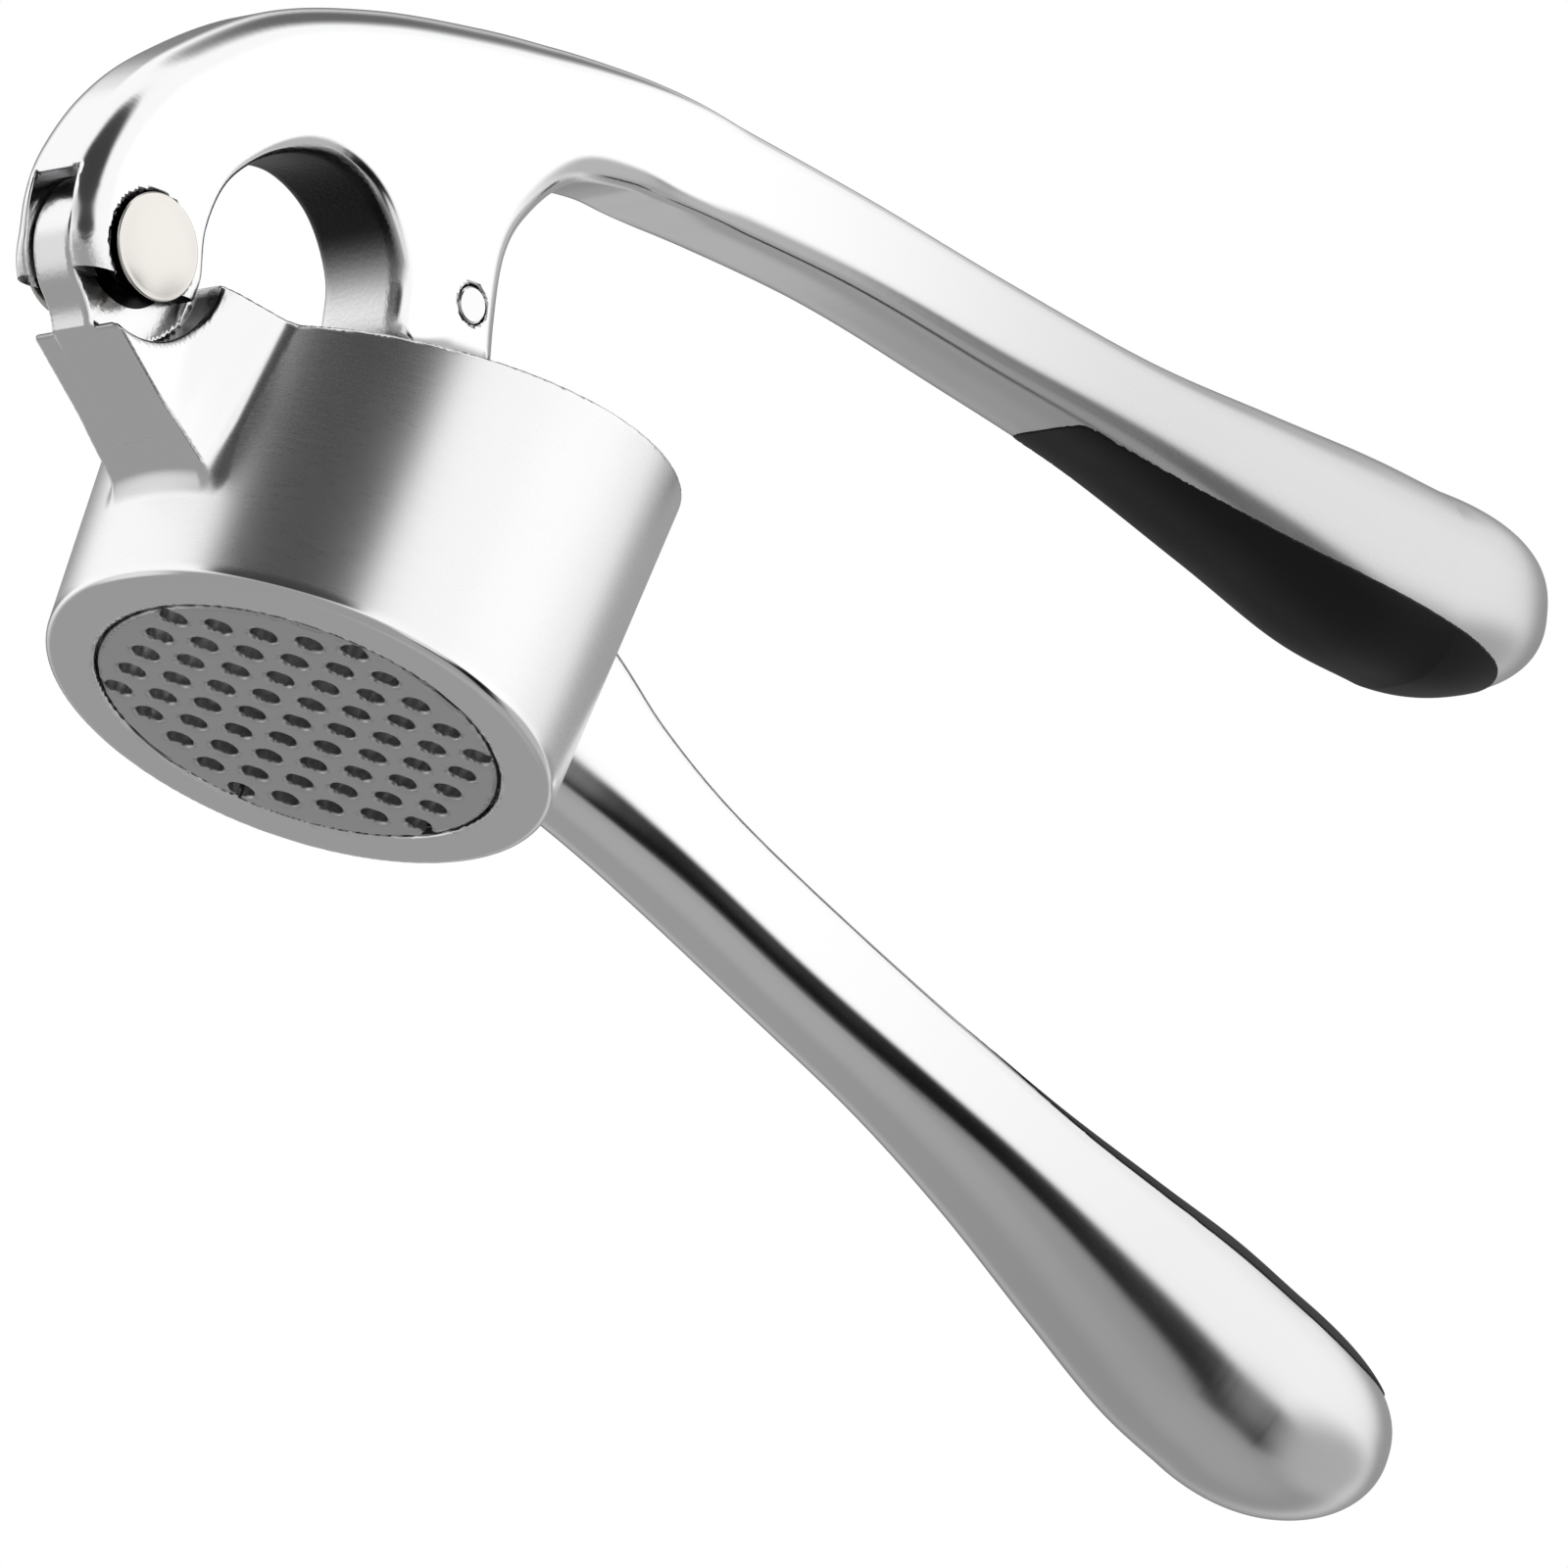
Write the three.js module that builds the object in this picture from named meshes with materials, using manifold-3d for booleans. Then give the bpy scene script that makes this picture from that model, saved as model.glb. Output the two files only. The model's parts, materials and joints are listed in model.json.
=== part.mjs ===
// A garlic press with two lever handles, modelled half open.
// Millimetres, Z up. The hinge pin's axis is the Y line through x = 0, z = 0; the handles run toward +X.
// The last lines move the whole press so that its box stands centred on the ground.

import * as THREE from 'three';
import { mergeVertices } from 'three/addons/utils/BufferGeometryUtils.js';
import Module from 'manifold-3d';

const wasm = await Module();
wasm.setup();

// ---- driving dimensions ----

const gap = 0.3; // air between pieces that touch on the real press
const castHalf = 4.85; // half the width of the flat cast plate that makes arch, leg and beam
const castEdge = 1.4; // rounding along the plate's edges
const plateEndX = 64; // where the plate runs into the round part of the upper handle
const openAngle = THREE.MathUtils.degToRad(19); // from the closed press to this pose

const pinRadius = 2.9; // hinge pin
const pinHeadRadius = 4.45;
const pinHeadThickness = 1.1;
const pinHeadGap = 0.15; // air between a pin head and the ear
const pinHeadDome = 0.5; // how far a pin head is rounded down at its edge
const tongueRadius = 6.8; // round end of the lower handle, between the ears
const tongueHalf = 2.2;
const slotHalf = tongueHalf + gap;
const slotRadius = 8.6;
const earRadius = 6.7;
const reliefRadius = 7.5; // hollow in the bracket for the ears

const hopperX = 34.7; // hopper axis
const groundZ = -22.6; // underside of the hopper and of the lower grip
const hopperBottomRadius = 21.6;
const hopperTopRadius = 23.1;
const rimZ = 5.0; // rim height at the hopper axis
const rimSlope = 0.18; // the rim rises toward the handle
const hopperTallZ = 10; // where the cone is sawn off before the rim is cut
const chamberBottomRadius = 19.4;
const chamberTopRadius = 21.3;
const hopperEdge = 1.1; // rounding of the bottom edge
const lipRadius = 17.3; // opening in the hopper's floor
const lipThickness = 1.2;

const flangeThickness = 1.1; // sieve disc
const holeRadius = 1.15;
const holePitch = 3.9;
const holeZoneRadius = 15.6;

const legPinX = 36.1; // plunger pin, in the closed press
const legPinZ = 4.7;
const legPinRadius = 1.55;
const legBottomZ = -1.0;
const legLeft = 27.6; // sides of the leg
const legRight = 40.3;
const legCorner = 2.4; // rounding of the leg's lower corners
const mortiseLeft = 30.6; // slot in the leg for the plunger's stem, open to the right
const pressDepth = 24.1; // from the plunger pin down to the pressing face
const pressRadius = 16.9;
const pressThickness = 3.0;
const pressOffset = -1.6; // press disc's axis from its pin
const tenonHalf = 1.6;
const eyeRadius = 2.7;
const pressEdge = 0.5; // chamfer around the press disc
const bossFootRadius = 8; // cone between the press disc and the stem
const bossWaistRadius = 4.6;
const bossTopRadius = 3.6;
const bossWaist = 6.5; // heights above the pressing face
const bossTop = 10.5;
const plungerFollow = 0.65; // share of the handle's turn that the plunger takes with it

const gripStart = 108; // grip inserts, from the hinge
const far = 80; // longer than anything that is cut

// ---- solids ----

function solidOf(geometry) {
  const plain = geometry.index ? geometry.toNonIndexed() : geometry.clone();
  plain.deleteAttribute('normal');
  plain.deleteAttribute('uv');
  const merged = mergeVertices(plain, 1e-4);
  const corners = [...merged.index.array];
  const triVerts = [];
  for (let i = 0; i < corners.length; i += 3) {
    const [a, b, c] = corners.slice(i, i + 3);
    if (a !== b && b !== c && c !== a) {
      triVerts.push(a, b, c);
    }
  }
  const mesh = new wasm.Mesh({
    numProp: 3,
    vertProperties: new Float32Array(merged.attributes.position.array),
    triVerts: new Uint32Array(triVerts),
  });
  mesh.merge();
  return new wasm.Manifold(mesh);
}

function geometryOf(solid) {
  const mesh = solid.getMesh();
  const geometry = new THREE.BufferGeometry();
  geometry.setAttribute('position', new THREE.BufferAttribute(new Float32Array(mesh.vertProperties), 3));
  geometry.setIndex(new THREE.BufferAttribute(new Uint32Array(mesh.triVerts), 1));
  geometry.computeVertexNormals();
  return geometry;
}

// A plate: an outline in X and Z, as thick as 2 * half along Y, with its edges rounded.
function plate(outline, half, edge = 0, curveSegments = 3) {
  const geometry = new THREE.ExtrudeGeometry(outline, {
    depth: 2 * (half - edge),
    curveSegments,
    bevelEnabled: edge > 0,
    bevelThickness: edge,
    bevelSize: edge,
    bevelOffset: -edge,
    bevelSegments: 3,
  });
  geometry.translate(0, 0, edge - half);
  geometry.rotateX(Math.PI / 2);
  return solidOf(geometry);
}

// A bar along Y, between y = -half and y = half.
function barAlongY(radius, half, x = 0, z = 0, sides = 40) {
  const geometry = new THREE.CylinderGeometry(radius, radius, 2 * half, sides);
  geometry.translate(x, 0, z);
  return solidOf(geometry);
}

function block(x0, x1, y0, y1, z0, z1) {
  const geometry = new THREE.BoxGeometry(x1 - x0, y1 - y0, z1 - z0);
  geometry.translate((x0 + x1) / 2, (y0 + y1) / 2, (z0 + z1) / 2);
  return solidOf(geometry);
}

// A turned piece: [radius, height] pairs, about the Z line through x.
function turned(profile, x = 0, sides = 56) {
  const points = profile.map(([radius, height]) => new THREE.Vector2(radius, height));
  const geometry = new THREE.LatheGeometry(points, sides);
  geometry.rotateX(Math.PI / 2);
  geometry.translate(x, 0, 0);
  return solidOf(geometry);
}

// One ring of a loft: a superellipse in Y and Z. Power 2 is an ellipse, 8 a box with rounded edges.
function ring({ x, top, bottom, half, power, flare = 0 }, sides) {
  const middle = (top + bottom) / 2;
  const rise = (top - bottom) / 2;
  const points = [];
  for (let i = 0; i < sides; i += 1) {
    const angle = (2 * Math.PI * (i + 0.5)) / sides;
    const c = Math.cos(angle);
    const s = Math.sin(angle);
    const size = (Math.abs(c) ** power + Math.abs(s) ** power) ** (-1 / power);
    points.push([x, half * c * size * (1 + flare * s * size), middle + rise * s * size]);
  }
  return points;
}

// Skins a row of rings and closes both ends.
function loft(stations, sides = 28) {
  const rings = stations.map((station) => ring(station, sides));
  const position = rings.flat(2);
  const index = [];
  for (let r = 0; r + 1 < rings.length; r += 1) {
    for (let i = 0; i < sides; i += 1) {
      const j = (i + 1) % sides;
      const a = r * sides;
      const b = a + sides;
      index.push(a + i, a + j, b + j, a + i, b + j, b + i);
    }
  }
  const last = (rings.length - 1) * sides;
  for (let i = 1; i + 1 < sides; i += 1) {
    index.push(0, i + 1, i, last, last + i, last + i + 1);
  }
  const geometry = new THREE.BufferGeometry();
  geometry.setAttribute('position', new THREE.Float32BufferAttribute(position, 3));
  geometry.setIndex(index);
  return solidOf(geometry);
}

// Smooth stations along the given ones.
function smooth(keys, steps) {
  const sizes = new THREE.CatmullRomCurve3(
    keys.map((k) => new THREE.Vector3(k.x, k.top, k.bottom)), false, 'catmullrom');
  const shapes = new THREE.CatmullRomCurve3(
    keys.map((k) => new THREE.Vector3(k.half, k.power, k.flare ?? 0)), false, 'catmullrom');
  const stations = [];
  for (let i = 0; i <= steps; i += 1) {
    const size = sizes.getPoint(i / steps);
    const shape = shapes.getPoint(i / steps);
    stations.push({
      x: size.x, top: size.y, bottom: size.z, half: shape.x, power: shape.y, flare: shape.z,
    });
  }
  return stations;
}

// Stations that close a bar with a blunt rounded tip, which reaches x = tipX at height tipZ.
function tip(start, tipX, tipZ, steps = 6, blunt = 0.8, smallest = 0.12) {
  const middle = (start.top + start.bottom) / 2;
  const rise = (start.top - start.bottom) / 2;
  const stations = [];
  for (let i = 1; i <= steps; i += 1) {
    const angle = (Math.PI / 2) * (i / steps);
    const scale = Math.max(Math.cos(angle), 0) ** blunt;
    const shown = Math.max(scale, smallest);
    const along = Math.sin(angle);
    const centre = middle + (tipZ - middle) * along * along;
    stations.push({
      ...start,
      x: start.x + (tipX - start.x) * along,
      top: centre + rise * shown,
      bottom: centre - rise * shown,
      half: start.half * shown,
    });
  }
  return stations;
}

function spline(shape, points) {
  shape.splineThru(points.map(([x, z]) => new THREE.Vector2(x, z)));
}

// ---- upper handle, drawn in the closed press ----

const upperTipX = 174.5;

const upperBeam = [
  { x: 63.6, top: 28.7, bottom: 19.2, half: castHalf, power: 8 },
  { x: 82, top: 26.5, bottom: 17.9, half: castHalf, power: 7 },
  { x: 100, top: 23.8, bottom: 15.0, half: 5.3, power: 5 },
  { x: 118, top: 21.6, bottom: 11.7, half: 6.3, power: 3.6 },
  { x: 134, top: 21.0, bottom: 7.3, half: 7.4, power: 2.9 },
  { x: 147, top: 20.7, bottom: 3.4, half: 8.0, power: 2.6 },
  { x: 157, top: 19.6, bottom: 2.1, half: 8.0, power: 2.5 },
];
const upperTipZ = 13.0;

// Fork, arch, leg and the root of the beam, as one outline.
function archOutline() {
  const rounding = legBottomZ + legCorner;
  const shape = new THREE.Shape();
  shape.moveTo(plateEndX, 28.7);
  shape.lineTo(60, 29.1);
  spline(shape, [
    [53, 29.4], [44, 29.3], [36, 28.7], [24, 26.9], [12.5, 23.6],
    [2.8, 18], [-2.6, 13.2], [-6.4, 7.8], [-7.4, 3],
  ]);
  shape.absarc(-0.6, 0.1, earRadius, Math.PI * 0.95, Math.PI * 1.95, false);
  spline(shape, [
    [6.1, 3.4], [8.2, 7.9], [13, 11.3], [19.2, 12.7], [24.4, 10.6], [27.4, 6.0], [legLeft, rounding],
  ]);
  shape.absarc(legLeft + legCorner, rounding, legCorner, Math.PI, Math.PI * 1.5, false);
  shape.absarc(legRight - legCorner, rounding, legCorner, Math.PI * 1.5, Math.PI * 2, false);
  spline(shape, [[40.8, 9.7], [43.4, 14.5], [48, 18.4], [54, 19.6], [60, 19.4]]);
  shape.lineTo(plateEndX, 19.2);
  return shape;
}

function upperBar() {
  const stations = smooth(upperBeam, 12);
  return loft([...stations, ...tip(stations.at(-1), upperTipX, upperTipZ)]);
}

// The side view of the space that the upper grip insert fills, lowered by the given gap.
function upperInsertOutline(air) {
  const shape = new THREE.Shape();
  shape.moveTo(gripStart + air, -far);
  shape.lineTo(gripStart + air, 12.4 - air);
  spline(shape, [
    [110.5, 13.6 - air], [116, 12.8 - air], [125, 11.2 - air], [135, 9.6 - air], [145, 8.3 - air],
    [154, 7.2 - air], [161, 6.0 - air], [166, 4.6 - air], [170.5 - air, 1 - air],
  ]);
  shape.lineTo(170.5 - air, -far);
  return shape;
}

function upperHandle() {
  const slot = barAlongY(slotRadius, slotHalf);
  const mortiseHalf = tenonHalf + gap;
  const mortiseTop = legPinZ + eyeRadius + gap;
  const mortiseRight = legRight + castHalf;
  const mortise = block(mortiseLeft, mortiseRight, -mortiseHalf, mortiseHalf, legBottomZ - 1, mortiseTop);
  return plate(archOutline(), castHalf, castEdge)
    .add(upperBar())
    .subtract(slot)
    .subtract(mortise)
    .subtract(barAlongY(pinRadius + gap, far))
    .subtract(barAlongY(legPinRadius + gap, far, legPinX, legPinZ, 24))
    .subtract(plate(upperInsertOutline(0), 3 * castHalf));
}

function upperInsert() {
  return upperBar().intersect(plate(upperInsertOutline(gap), 3 * castHalf));
}

// ---- lower handle ----

const lowerBeam = [
  { x: 46, top: 3.8, bottom: -14.4, half: 6.6, power: 6 },
  { x: 60, top: 0.6, bottom: -13.6, half: 5.5, power: 6 },
  { x: 68, top: -2.0, bottom: -13.3, half: 4.95, power: 7 },
  { x: 78, top: -3.9, bottom: -13.4, half: castHalf, power: 7 },
  { x: 92, top: -4.8, bottom: -14.1, half: castHalf, power: 7 },
  { x: 108, top: -5.2, bottom: -15.0, half: 5.3, power: 5 },
  { x: 122, top: -5.3, bottom: -16.8, half: 6.3, power: 3.8 },
  { x: 136, top: -4.5, bottom: -19.8, half: 7.4, power: 3 },
  { x: 147, top: -3.6, bottom: -22.1, half: 8.0, power: 2.6 },
  { x: 156, top: -3.6, bottom: groundZ, half: 8.0, power: 2.5 },
];
const lowerTipX = 175.2;
const lowerTipZ = -10.5;

const bracketBeam = [
  { x: -0.9, top: 1.4, bottom: -7.9, half: castHalf, power: 9 },
  { x: 1.5, top: 1.4, bottom: -8.9, half: castHalf, power: 9 },
  { x: 7, top: 1.4, bottom: -11.2, half: 5.4, power: 9, flare: 0.06 },
  { x: 13.5, top: 1.4, bottom: -13.9, half: 6.8, power: 9, flare: 0.2 },
  { x: 20, top: 1.4, bottom: -16.5, half: 8.4, power: 9, flare: 0.3 },
];

function hopperOutside() {
  const edge = hopperEdge;
  const profile = [[0, groundZ], [hopperBottomRadius - edge, groundZ]];
  for (let i = 1; i <= 4; i += 1) {
    const angle = (Math.PI / 2) * (i / 4);
    const out = edge * Math.sin(angle);
    const up = edge - edge * Math.cos(angle);
    profile.push([hopperBottomRadius - edge + out, groundZ + up]);
  }
  profile.push([hopperTopRadius, hopperTallZ], [0, hopperTallZ]);
  return turned(profile, hopperX);
}

// What is removed from the hopper: the conical chamber down to the sieve's seat, and the hole in the floor.
function chamber() {
  const seat = groundZ + lipThickness;
  return turned([
    [0, groundZ - 1], [lipRadius, groundZ - 1], [lipRadius, seat], [chamberBottomRadius, seat],
    [chamberTopRadius, hopperTallZ + 1], [0, hopperTallZ + 1],
  ], hopperX);
}

// Everything above the slanted rim, around the hopper only.
function aboveRim() {
  const side = hopperTopRadius + 4;
  const geometry = new THREE.BoxGeometry(2 * side, 2 * side, far);
  geometry.translate(0, 0, far / 2);
  geometry.rotateY(-Math.atan(rimSlope));
  geometry.translate(hopperX, 0, rimZ);
  return solidOf(geometry);
}

function lowerBar() {
  const stations = smooth(lowerBeam, 18);
  return loft([...stations, ...tip(stations.at(-1), lowerTipX, lowerTipZ)]);
}

function lowerInsertOutline(air) {
  const shape = new THREE.Shape();
  shape.moveTo(gripStart + air, far);
  shape.lineTo(gripStart + air, -6.4 + air);
  spline(shape, [
    [114, -6.8 + air], [124, -6.7 + air], [136, -5.8 + air], [147, -5.1 + air], [156, -5.1 + air],
    [164, -5.6 + air], [170.5 - air, -4.5 + air],
  ]);
  shape.lineTo(170.5 - air, far);
  return shape;
}

// The ears of the upper handle turn in a round hollow on each side of the tongue.
function relief() {
  const outer = barAlongY(reliefRadius, far);
  return outer.subtract(block(-far, far, -tongueHalf, tongueHalf, -far, far));
}

function lowerHandle() {
  const hopper = hopperOutside().subtract(aboveRim());
  return loft(smooth(bracketBeam, 8), 32)
    .subtract(relief())
    .add(hopper)
    .add(lowerBar())
    .add(barAlongY(tongueRadius, tongueHalf))
    .subtract(chamber())
    .subtract(barAlongY(pinRadius + gap, far))
    .subtract(plate(lowerInsertOutline(0), 3 * castHalf));
}

function lowerInsert() {
  return lowerBar().intersect(plate(lowerInsertOutline(gap), 3 * castHalf));
}

// ---- pins, sieve and plunger ----

function hingePin() {
  const headStart = castHalf + pinHeadGap;
  const headEnd = headStart + pinHeadThickness;
  const rolled = headEnd - pinHeadDome;
  const flat = pinHeadRadius - pinHeadDome;
  const profile = [
    [0, -headEnd], [flat, -headEnd], [pinHeadRadius, -rolled], [pinHeadRadius, -headStart],
    [pinRadius, -headStart], [pinRadius, headStart],
    [pinHeadRadius, headStart], [pinHeadRadius, rolled], [flat, headEnd], [0, headEnd],
  ];
  const points = profile.map(([radius, y]) => new THREE.Vector2(radius, y));
  return solidOf(new THREE.LatheGeometry(points, 40));
}

// A disc with a flange that sits on the hopper's lip, and rows of round holes.
function sieve() {
  const seat = groundZ + lipThickness + gap;
  const inner = lipRadius - gap;
  const outer = chamberBottomRadius - gap;
  const disc = turned([
    [0, groundZ], [inner, groundZ], [inner, seat], [outer, seat],
    [outer, seat + flangeThickness], [0, seat + flangeThickness],
  ], hopperX);
  const drillLength = 12;
  const drills = [];
  const rows = Math.floor(holeZoneRadius / (holePitch * Math.sin(Math.PI / 3)));
  for (let row = -rows; row <= rows; row += 1) {
    const y = row * holePitch * Math.sin(Math.PI / 3);
    const shift = row % 2 === 0 ? 0 : holePitch / 2;
    for (let k = -rows - 1; k <= rows; k += 1) {
      const x = k * holePitch + shift;
      if (Math.hypot(x, y) <= holeZoneRadius) {
        const drill = new THREE.CylinderGeometry(holeRadius, holeRadius, drillLength, 8);
        drill.rotateX(Math.PI / 2);
        drill.translate(hopperX + x, y, groundZ);
        drills.push(solidOf(drill));
      }
    }
  }
  return drills.reduce((left, drill) => left.subtract(drill), disc);
}

// Drawn with its pin at the origin and its pressing face down.
function plunger() {
  const face = -pressDepth;
  const back = face + pressThickness;
  const disc = turned([
    [0, face], [pressRadius - pressEdge, face], [pressRadius, face + pressEdge],
    [pressRadius, back - pressEdge], [pressRadius - pressEdge, back],
    [bossFootRadius, back + pressEdge], [bossWaistRadius, face + bossWaist],
    [bossTopRadius, face + bossTop], [0, face + bossTop],
  ], pressOffset);
  const stemFoot = face + bossWaist + 1;
  const stemNeck = -eyeRadius - 4.3;
  const shape = new THREE.Shape();
  shape.moveTo(-2.6, stemFoot);
  shape.lineTo(-1.9, stemNeck);
  shape.absarc(0, 0, eyeRadius, Math.PI * 1.2, -Math.PI * 0.2, true);
  shape.lineTo(1.6, stemNeck);
  shape.lineTo(1.2, stemFoot);
  return disc.add(plate(shape, tenonHalf, 0, 8)).subtract(barAlongY(legPinRadius + gap, far, 0, 0, 24));
}

// ---- the press ----

const polished = { color: 0xd9dadb, roughness: 0.22, metalness: 1 };
const satin = { color: 0xc3c4c4, roughness: 0.35, metalness: 1 };
const pinSteel = { color: 0xd2cec6, roughness: 0.4, metalness: 1 };
const blackGrip = { color: 0x121314, roughness: 0.6, metalness: 0 };

function piece(name, solid, finish) {
  const mesh = new THREE.Mesh(geometryOf(solid), new THREE.MeshStandardMaterial(finish));
  mesh.name = name;
  return mesh;
}

const upper = new THREE.Group();
upper.rotation.y = -openAngle;
upper.add(
  piece('upper_handle', upperHandle(), polished),
  piece('upper_grip_insert', upperInsert(), blackGrip),
  piece('plunger_pin', barAlongY(legPinRadius, castHalf, legPinX, legPinZ, 24), pinSteel),
);

const press = piece('plunger', plunger(), satin);
press.position.set(legPinX, 0, legPinZ);
press.rotation.y = openAngle * (1 - plungerFollow);
upper.add(press);

const assembly = new THREE.Group();
assembly.add(
  piece('lower_handle', lowerHandle(), polished),
  piece('lower_grip_insert', lowerInsert(), blackGrip),
  piece('sieve_plate', sieve(), satin),
  piece('hinge_pin', hingePin(), pinSteel),
  upper,
);

const group = new THREE.Group();
group.add(assembly);
group.updateMatrixWorld(true);
const box = new THREE.Box3().setFromObject(group, true);
assembly.position.set(-(box.min.x + box.max.x) / 2, 0, -box.min.z);

export default group;
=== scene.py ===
"""A garlic press: smooth castings, pins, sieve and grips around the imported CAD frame.

Shapes are fields in millimetres, measured from the hinge pin's axis: negative inside a piece, zero on its
surface. mesh_of() turns a field into a mesh with exact normals, in metres, in the row frame.
"""
import json
import math

import bmesh
import bpy
import numpy as np
from mathutils import Matrix, Vector

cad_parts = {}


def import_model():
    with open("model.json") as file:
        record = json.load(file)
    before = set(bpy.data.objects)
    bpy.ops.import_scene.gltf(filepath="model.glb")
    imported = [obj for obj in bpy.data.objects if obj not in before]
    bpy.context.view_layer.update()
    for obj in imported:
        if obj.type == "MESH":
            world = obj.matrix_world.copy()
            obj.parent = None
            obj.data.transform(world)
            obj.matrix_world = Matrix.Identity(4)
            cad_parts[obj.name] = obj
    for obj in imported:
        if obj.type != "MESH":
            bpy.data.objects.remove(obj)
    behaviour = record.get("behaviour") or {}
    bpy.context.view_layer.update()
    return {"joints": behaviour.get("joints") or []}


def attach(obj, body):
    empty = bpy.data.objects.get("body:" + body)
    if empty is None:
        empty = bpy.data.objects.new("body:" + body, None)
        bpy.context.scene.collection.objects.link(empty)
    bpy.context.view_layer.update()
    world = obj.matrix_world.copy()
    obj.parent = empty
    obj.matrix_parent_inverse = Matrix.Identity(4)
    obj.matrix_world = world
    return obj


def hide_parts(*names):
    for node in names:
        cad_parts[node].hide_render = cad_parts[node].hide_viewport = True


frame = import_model()

JOINTS = {joint["name"]: joint for joint in frame["joints"]}
HINGE = np.array(JOINTS["handle_hinge"]["pos_m"]) * 1000
CLOSING = math.radians(-JOINTS["handle_hinge"]["range_deg"][0])
PLUNGER_SHARE = 0.65  # of the handle's swing, by which the plunger tilts

# ---- sizes in millimetres, with places measured from the hinge axis ----

CAST_HALF = 4.85  # half the width of the cast bars
GROUND = -22.6
TONGUE_RADIUS = 6.8
TONGUE_HALF = 2.2
SLOT_HALF = 2.5
SLOT_RADIUS = 8.6
RELIEF_RADIUS = 7.5
PIN_RADIUS = 2.9
PIN_HEAD_RADIUS = 4.45
PIN_HEAD_THICKNESS = 1.1
SEAT_RADIUS = 4.65
SEAT_FLOOR = 4.3
BORE_GAP = 0.2
OPENING = (17, 1)
HOPPER_X = 34.7
HOPPER_BOTTOM_RADIUS = 21.6
HOPPER_TOP_RADIUS = 23.1
HOPPER_TALL = 10.0  # above the slanted rim
RIM_HEIGHT = 5.0
RIM_SLOPE = 0.18
CHAMBER_BOTTOM_RADIUS = 19.4
CHAMBER_TOP_RADIUS = 21.3
LIP_RADIUS = 17.3
LIP_THICKNESS = 1.2
FLANGE_THICKNESS = 1.1
HOLE_RADIUS = 1.15
HOLE_PITCH = 3.9
HOLE_ZONE = 15.6
LEG_PIN = (36.1, 4.7)
LEG_PIN_RADIUS = 1.55
LEG_BOTTOM = -1.0
PRESS_DEPTH = 24.1
PRESS_RADIUS = 16.9
PRESS_THICKNESS = 3.0
PRESS_OFFSET = -1.6
TENON_HALF = 1.6
EYE_RADIUS = 2.7
GRIP_START = 108.0
GRIP_END = 170.5
PAD_PROUD = 0.1
PAD_BED = 0.6
FAR = 80  # well past any surface
CRISP = 0.2  # edge radii
SOFT = 0.35

# ---- fields ----


def round_join(a, b, radius):
    """Union with a hollow fillet."""
    u = np.maximum(radius - a, 0)
    v = np.maximum(radius - b, 0)
    return np.maximum(radius, np.minimum(a, b)) - np.sqrt(u * u + v * v)


def round_meet(a, b, radius):
    """Intersection with a rounded edge."""
    u = np.maximum(radius + a, 0)
    v = np.maximum(radius + b, 0)
    return np.minimum(-radius, np.maximum(a, b)) + np.sqrt(u * u + v * v)


def round_cut(a, b, radius):
    """The first without the second, with a rounded edge."""
    return round_meet(a, -b, radius)


def ease(x, low, high):
    """A smooth step, from zero at low to one at high."""
    t = np.clip((x - low) / (high - low), 0, 1)
    return t * t * (3 - 2 * t)


def catmull(points, steps=12):
    """A smooth row of points through the given ones."""
    p = np.array(points, float)
    p = np.vstack([2 * p[0] - p[1], p, 2 * p[-1] - p[-2]])
    rows = []
    for i in range(1, len(p) - 2):
        for t in np.arange(steps) / steps:
            a = 2 * p[i]
            b = (p[i + 1] - p[i - 1]) * t
            c = (2 * p[i - 1] - 5 * p[i] + 4 * p[i + 1] - p[i + 2]) * t * t
            d = (3 * p[i] - p[i - 1] - 3 * p[i + 1] + p[i + 2]) * t ** 3
            rows.append((a + b + c + d) / 2)
    rows.append(p[-2])
    return np.array(rows)


def arc(cx, cz, radius, start, end, steps=40):
    """Points along an arc, between two angles in degrees."""
    angles = np.radians(np.linspace(start, end, steps))
    return np.stack([cx + radius * np.cos(angles), cz + radius * np.sin(angles)], 1)


def outline_distance(points, x, z):
    """Signed distance in the XZ plane to a closed outline."""
    x, z = np.broadcast_arrays(x, z)
    flat_x = x.ravel()
    flat_z = z.ravel()
    nearest = np.full(flat_x.shape, 1e9)
    inside = np.zeros(flat_x.shape, bool)
    for (x0, z0), (x1, z1) in zip(points, np.roll(points, -1, axis=0)):
        dx = x1 - x0
        dz = z1 - z0
        if dx * dx + dz * dz < 1e-12:
            continue
        t = np.clip(((flat_x - x0) * dx + (flat_z - z0) * dz) / (dx * dx + dz * dz), 0, 1)
        gap = (flat_x - x0 - t * dx) ** 2 + (flat_z - z0 - t * dz) ** 2
        np.minimum(nearest, gap, out=nearest)
        if z0 != z1:
            crossed = (z0 > flat_z) != (z1 > flat_z)
            inside ^= crossed & (flat_x < x0 + (flat_z - z0) * dx / dz)
    distance = np.sqrt(nearest)
    return np.where(inside, -distance, distance).reshape(x.shape)


def bar_y(x, z, radius, cx=0.0, cz=0.0):
    """A round bar along Y."""
    return np.hypot(x - cx, z - cz) - radius


def about_hopper(x, y, radius):
    """A round bar along the hopper's axis."""
    return np.hypot(x - HOPPER_X, y) - radius


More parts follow.
